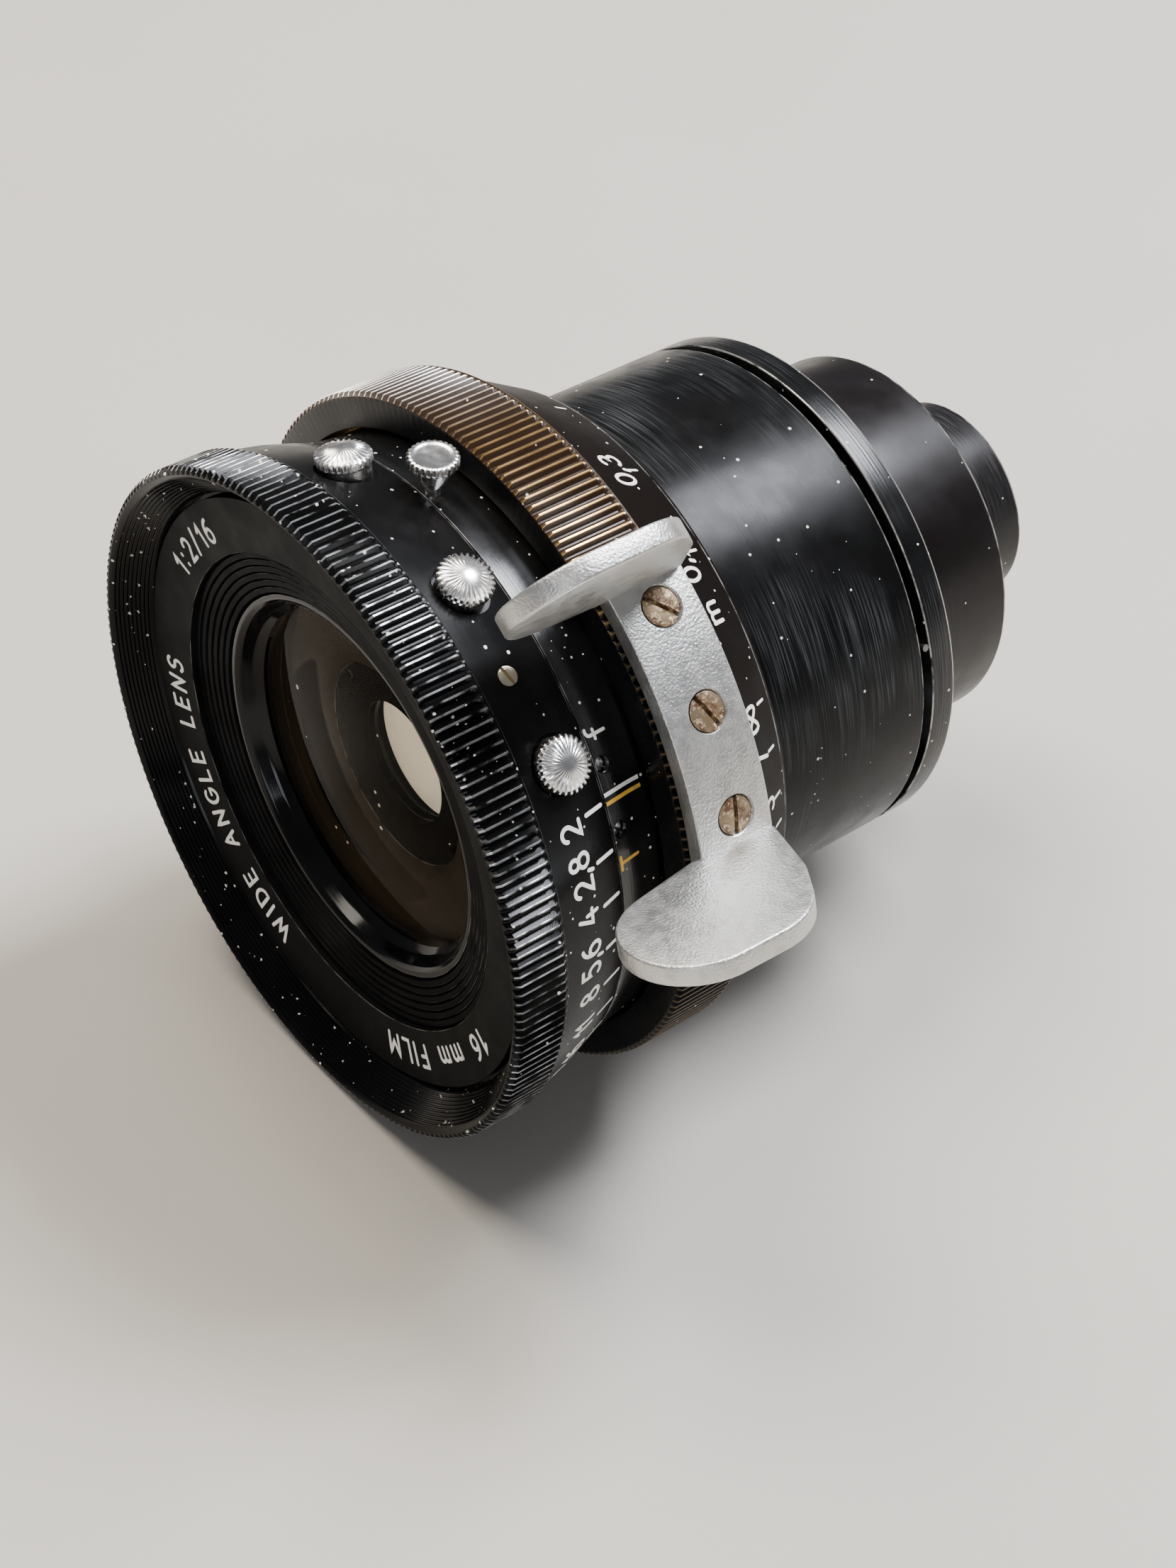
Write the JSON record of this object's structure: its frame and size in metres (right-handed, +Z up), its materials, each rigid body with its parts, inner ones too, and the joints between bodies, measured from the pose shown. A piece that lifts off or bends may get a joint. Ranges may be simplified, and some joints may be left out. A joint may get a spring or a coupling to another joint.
{
  "type": "cine camera lens",
  "caption": "Wide-angle cine camera lens with knurled aperture and focusing rings, a strap with twin finger ears, an iris and a plain barrel camera mount.",
  "frame": {"origin": "on the optical axis, in the plane of the camera mount's rear seat", "axes": "+Y along the optical axis towards the camera, so the front glass faces -Y; +Z up; +X to the right seen from the front, on the side of the index lines"},
  "size_m": [0.0653, 0.0651, 0.0588],
  "materials": {
    "black_anodised_satin": "satin black anodised",
    "bright_nickel": "polished",
    "brass": "turned",
    "plain_steel": "turned",
    "worn_grip": "black anodised, knurl tips worn to bronze",
    "satin_aluminium": "bead blasted",
    "rusty_steel": "rust-browned",
    "matte_black": "matt black paint on metal",
    "coated_glass": "amber coated",
    "clear_glass": "polished",
    "rear_black": "satin black anodised, brown tint",
    "gloss_black_barrel": "gloss black, scuffed",
    "worn_flange": "turned, worn bright on its edge",
    "blade_steel": "blackened"
  },
  "bodies": {
    "lens_mount": {"mount_barrel": "gloss_black_barrel", "mount_flange_ring": "worn_flange", "focus_retaining_ring": "plain_steel", "locating_pin": "plain_steel", "guide_key_screw": "plain_steel"},
    "focus_ring": {"focus_grip_ring": "worn_grip", "distance_scale_ring": "black_anodised_satin", "focus_helicoid_ring": "brass", "focus_stop_screw": "plain_steel", "finger_strap": "satin_aluminium", "strap_screw_1": "rusty_steel", "strap_screw_2": "rusty_steel", "strap_screw_3": "rusty_steel"},
    "optical_block": {"name_ring": "matte_black", "stepped_baffle": "matte_black", "front_retaining_ring": "black_anodised_satin", "front_element": "coated_glass", "conical_baffle": "matte_black", "front_cell": "black_anodised_satin", "iris_pivot_plate": "matte_black", "index_sleeve": "black_anodised_satin", "index_grub_screw_1": "plain_steel", "index_grub_screw_2": "plain_steel", "sleeve_knob": "bright_nickel", "moving_helicoid": "brass", "inner_barrel": "rear_black", "middle_element": "clear_glass", "lens_spacer": "matte_black", "rear_doublet": "clear_glass", "rear_cell": "rear_black", "rear_element": "clear_glass", "rear_retaining_ring": "matte_black"},
    "aperture_ring": {"aperture_grip_ring": "black_anodised_satin", "aperture_scale_ring": "black_anodised_satin", "thumb_stud_1": "bright_nickel", "thumb_stud_2": "bright_nickel", "thumb_stud_3": "bright_nickel", "scale_set_screw": "brass", "iris_drive_pin": "plain_steel", "iris_cam_ring": "black_anodised_satin"},
    "iris_blade_1": {"iris_blade_1": "blade_steel"},
    "iris_blade_2": {"iris_blade_2": "blade_steel"},
    "iris_blade_3": {"iris_blade_3": "blade_steel"},
    "iris_blade_4": {"iris_blade_4": "blade_steel"},
    "iris_blade_5": {"iris_blade_5": "blade_steel"},
    "iris_blade_6": {"iris_blade_6": "blade_steel"},
    "iris_blade_7": {"iris_blade_7": "blade_steel"},
    "iris_blade_8": {"iris_blade_8": "blade_steel"}
  },
  "joints": [
    {"name": "focus_turn", "type": "hinge", "parent": "lens_mount", "child": "focus_ring", "pos_m": [0, 0, 0], "axis": [0, -1, 0], "range_deg": [0, 330]},
    {"name": "focus_travel", "type": "slide", "parent": "lens_mount", "child": "optical_block", "axis": [0, -1, 0], "range_m": [0, 0.00111]},
    {"name": "aperture_turn", "type": "hinge", "parent": "optical_block", "child": "aperture_ring", "pos_m": [0, 0, 0], "axis": [0, -1, 0], "range_deg": [0, 57]},
    {"name": "blade_1_turn", "type": "hinge", "parent": "optical_block", "child": "iris_blade_1", "pos_m": [0.0096, -0.035, 0], "axis": [0, 1, 0], "range_deg": [0, 27.8]},
    {"name": "blade_2_turn", "type": "hinge", "parent": "optical_block", "child": "iris_blade_2", "pos_m": [0.00679, -0.035, 0.00679], "axis": [0, 1, 0], "range_deg": [0, 27.8]},
    {"name": "blade_3_turn", "type": "hinge", "parent": "optical_block", "child": "iris_blade_3", "pos_m": [0, -0.035, 0.0096], "axis": [0, 1, 0], "range_deg": [0, 27.8]},
    {"name": "blade_4_turn", "type": "hinge", "parent": "optical_block", "child": "iris_blade_4", "pos_m": [-0.00679, -0.035, 0.00679], "axis": [0, 1, 0], "range_deg": [0, 27.8]},
    {"name": "blade_5_turn", "type": "hinge", "parent": "optical_block", "child": "iris_blade_5", "pos_m": [-0.0096, -0.035, 0], "axis": [0, 1, 0], "range_deg": [0, 27.8]},
    {"name": "blade_6_turn", "type": "hinge", "parent": "optical_block", "child": "iris_blade_6", "pos_m": [-0.00679, -0.035, -0.00679], "axis": [0, 1, 0], "range_deg": [0, 27.8]},
    {"name": "blade_7_turn", "type": "hinge", "parent": "optical_block", "child": "iris_blade_7", "pos_m": [0, -0.035, -0.0096], "axis": [0, 1, 0], "range_deg": [0, 27.8]},
    {"name": "blade_8_turn", "type": "hinge", "parent": "optical_block", "child": "iris_blade_8", "pos_m": [0.00679, -0.035, -0.00679], "axis": [0, 1, 0], "range_deg": [0, 27.8]}
  ],
  "couplings": [
    {"joint": "focus_travel", "follows": "focus_turn", "m_per_rad": 0.00019099},
    {"joint": "blade_1_turn", "follows": "aperture_turn", "ratio": 0.48596},
    {"joint": "blade_2_turn", "follows": "aperture_turn", "ratio": 0.48596},
    {"joint": "blade_3_turn", "follows": "aperture_turn", "ratio": 0.48596},
    {"joint": "blade_4_turn", "follows": "aperture_turn", "ratio": 0.48596},
    {"joint": "blade_5_turn", "follows": "aperture_turn", "ratio": 0.48596},
    {"joint": "blade_6_turn", "follows": "aperture_turn", "ratio": 0.48596},
    {"joint": "blade_7_turn", "follows": "aperture_turn", "ratio": 0.48596},
    {"joint": "blade_8_turn", "follows": "aperture_turn", "ratio": 0.48596}
  ]
}
